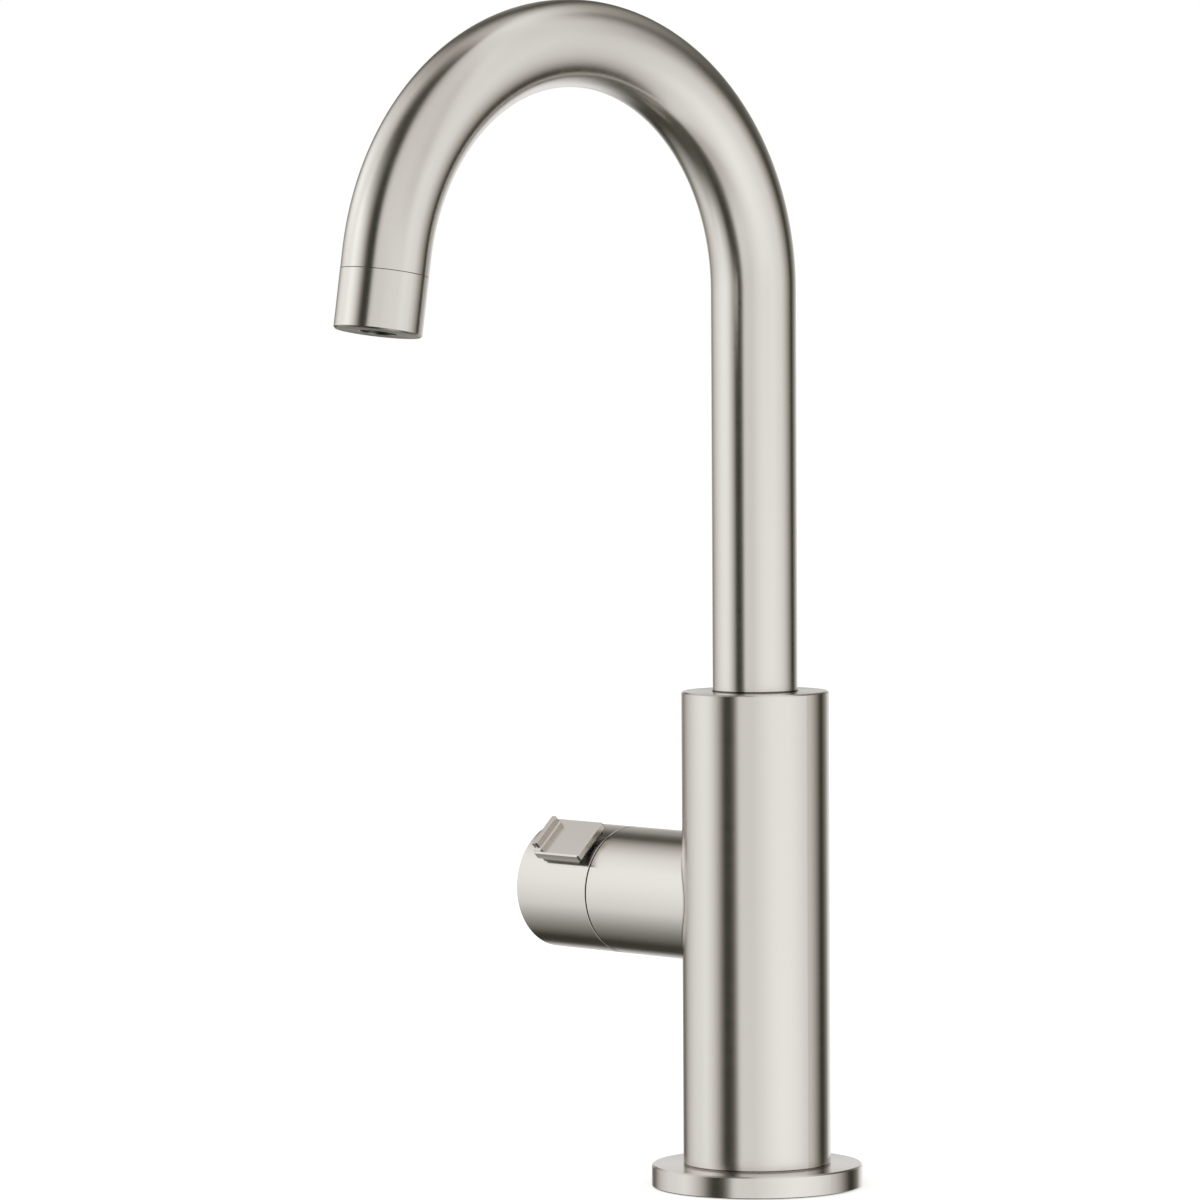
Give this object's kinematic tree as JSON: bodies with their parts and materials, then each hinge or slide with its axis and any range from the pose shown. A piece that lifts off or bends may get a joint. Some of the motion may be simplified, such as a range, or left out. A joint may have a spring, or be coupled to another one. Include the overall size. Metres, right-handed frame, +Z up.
{
  "type": "hot water faucet",
  "caption": "Single-hole hot water faucet: round column on a thin flange, tall swivelling tube arch with a short nozzle, and a side hub whose cap with a thumb plate turns a quarter-turn valve.",
  "frame": {"origin": "centre of the flange's underside, on the top face of the deck, on the column's axis", "axes": "+Z up along the column, the spout reaches towards -Y at rest, the hub and its cap point along -X, to the user's left; everything below z = 0 is under the deck's top face"},
  "size_m": [0.1032, 0.167, 0.3664],
  "materials": {
    "brushed_nickel": "fine brushed warm nickel over brass",
    "machined_brass": "plain machined brass",
    "stainless": "plain stainless steel",
    "black_rubber": "matt black rubber",
    "white_polymer": "white bearing polymer and hose",
    "ceramic": "lapped ceramic",
    "outlet_polymer": "dark grey-green moulded polymer"
  },
  "bodies": {
    "column": {"base_flange": "brushed_nickel", "base_gasket": "black_rubber", "body_shell": "brushed_nickel", "valve_body": "machined_brass", "hub_sleeve": "brushed_nickel", "mounting_shank": "machined_brass", "deck_washer": "black_rubber", "clamp_washer": "stainless", "mounting_nut": "machined_brass", "swivel_bush": "white_polymer", "thrust_washer": "white_polymer", "spout_set_screw": "stainless", "cartridge_housing": "machined_brass", "housing_o_ring": "black_rubber", "retaining_nut": "machined_brass", "seat_seal": "black_rubber", "fixed_disc": "ceramic", "glide_ring": "white_polymer"},
    "spout": {"spout_tube": "brushed_nickel", "spout_journal": "machined_brass", "journal_o_rings": "black_rubber", "inner_hose": "white_polymer", "nozzle_shell": "brushed_nickel", "nozzle_o_ring": "black_rubber", "nozzle_insert": "white_polymer", "flow_straightener": "outlet_polymer"},
    "handle": {"handle_cap": "brushed_nickel", "thumb_plate": "brushed_nickel", "valve_stem": "machined_brass", "moving_disc": "ceramic", "slip_washer": "white_polymer", "stem_o_rings": "black_rubber", "stem_clip": "stainless", "cap_set_screw": "stainless"}
  },
  "joints": [
    {"name": "spout_swivel", "type": "hinge", "parent": "column", "child": "spout", "pos_m": [0, 0, 0], "axis": [0, 0, 1], "continuous": true},
    {"name": "handle_turn", "type": "hinge", "parent": "column", "child": "handle", "pos_m": [-0.0479, 0, 0.0744], "axis": [-1, 0, 0], "range_deg": [0, 90]}
  ]
}
